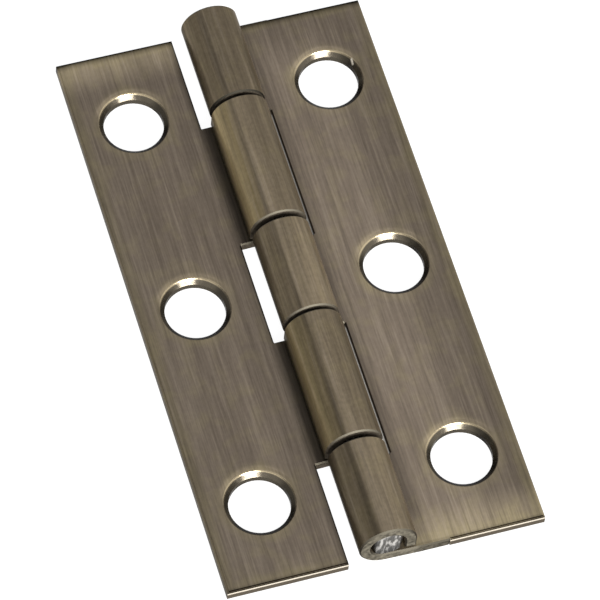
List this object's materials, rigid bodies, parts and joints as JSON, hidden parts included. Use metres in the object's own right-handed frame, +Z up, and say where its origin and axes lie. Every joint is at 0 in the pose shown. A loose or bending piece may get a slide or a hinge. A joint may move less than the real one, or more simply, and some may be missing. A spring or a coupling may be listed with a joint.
{
  "type": "narrow butt hinge",
  "caption": "Narrow pressed butt hinge lying open, with rolled interlocking knuckles round a plain pin and countersunk screw holes along each leaf.",
  "frame": {"origin": "middle of the open hinge, below the pin, in the plane of the back faces", "axes": "+Y along the pin, +X across the open leaves towards the three-knuckle leaf, +Z up out of the countersunk faces"},
  "size_m": [0.0331, 0.064, 0.0062],
  "materials": {
    "antique_brass_plate": "pressed steel with a darkened brass plating, brushed along the pin, lacquered",
    "pin_steel": "bright drawn steel wire with rough cropped ends"
  },
  "bodies": {
    "frame_leaf": {"three_knuckle_leaf": "antique_brass_plate", "hinge_pin": "pin_steel"},
    "door_leaf": {"two_knuckle_leaf": "antique_brass_plate"}
  },
  "joints": [
    {"name": "leaf_swing", "type": "hinge", "parent": "frame_leaf", "child": "door_leaf", "pos_m": [0, 0, 0.0032], "axis": [0, 1, 0], "range_deg": [-98, 192]}
  ]
}
